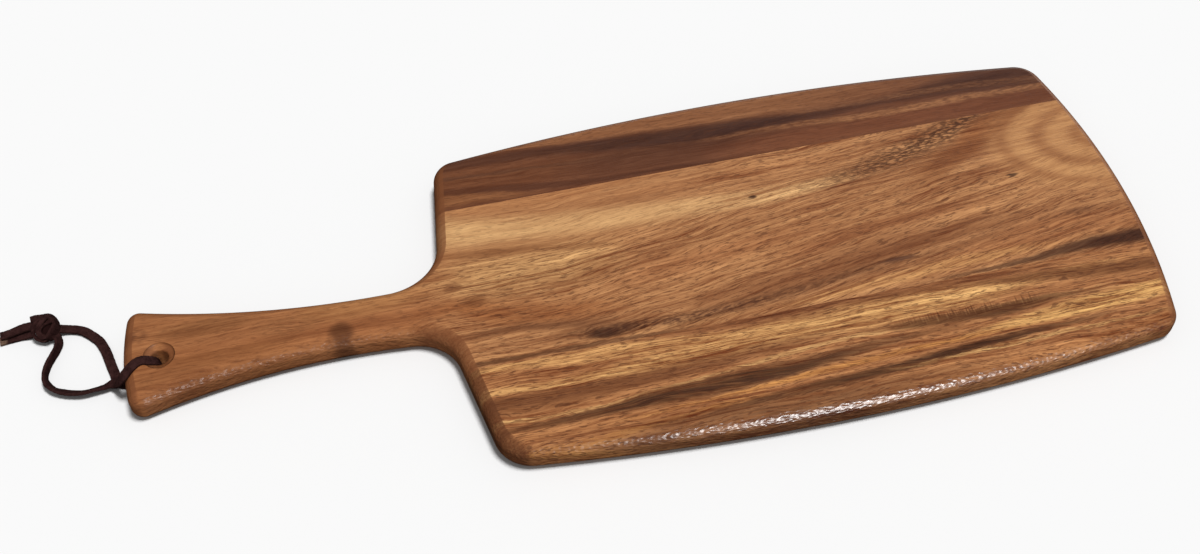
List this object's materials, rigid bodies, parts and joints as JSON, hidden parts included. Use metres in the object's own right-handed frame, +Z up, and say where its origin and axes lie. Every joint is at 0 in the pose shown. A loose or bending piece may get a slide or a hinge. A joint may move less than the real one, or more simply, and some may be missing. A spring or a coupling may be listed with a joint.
{
  "type": "paddle charcuterie board",
  "caption": "Paddle-shaped serving board edge-glued from streaked acacia staves, with a rounded edge and a knotted leather hanging lace through its handle.",
  "frame": {"origin": "centre of the bounding box on the plane the board lies on", "axes": "+X from the handle end to the far end of the blade, +Y across the board, +Z up out of the serving face"},
  "size_m": [0.5689, 0.205, 0.0176],
  "materials": {
    "wood_far": "satin",
    "wood_middle": "satin",
    "wood_near": "satin",
    "lace": "matte"
  },
  "bodies": {
    "root": {"far_stave": "wood_far", "middle_stave": "wood_middle", "near_stave": "wood_near", "lace_over": "lace", "lace_under": "lace", "lace_knot": "lace", "lace_tail_long": "lace", "lace_tail_short": "lace"}
  },
  "joints": []
}
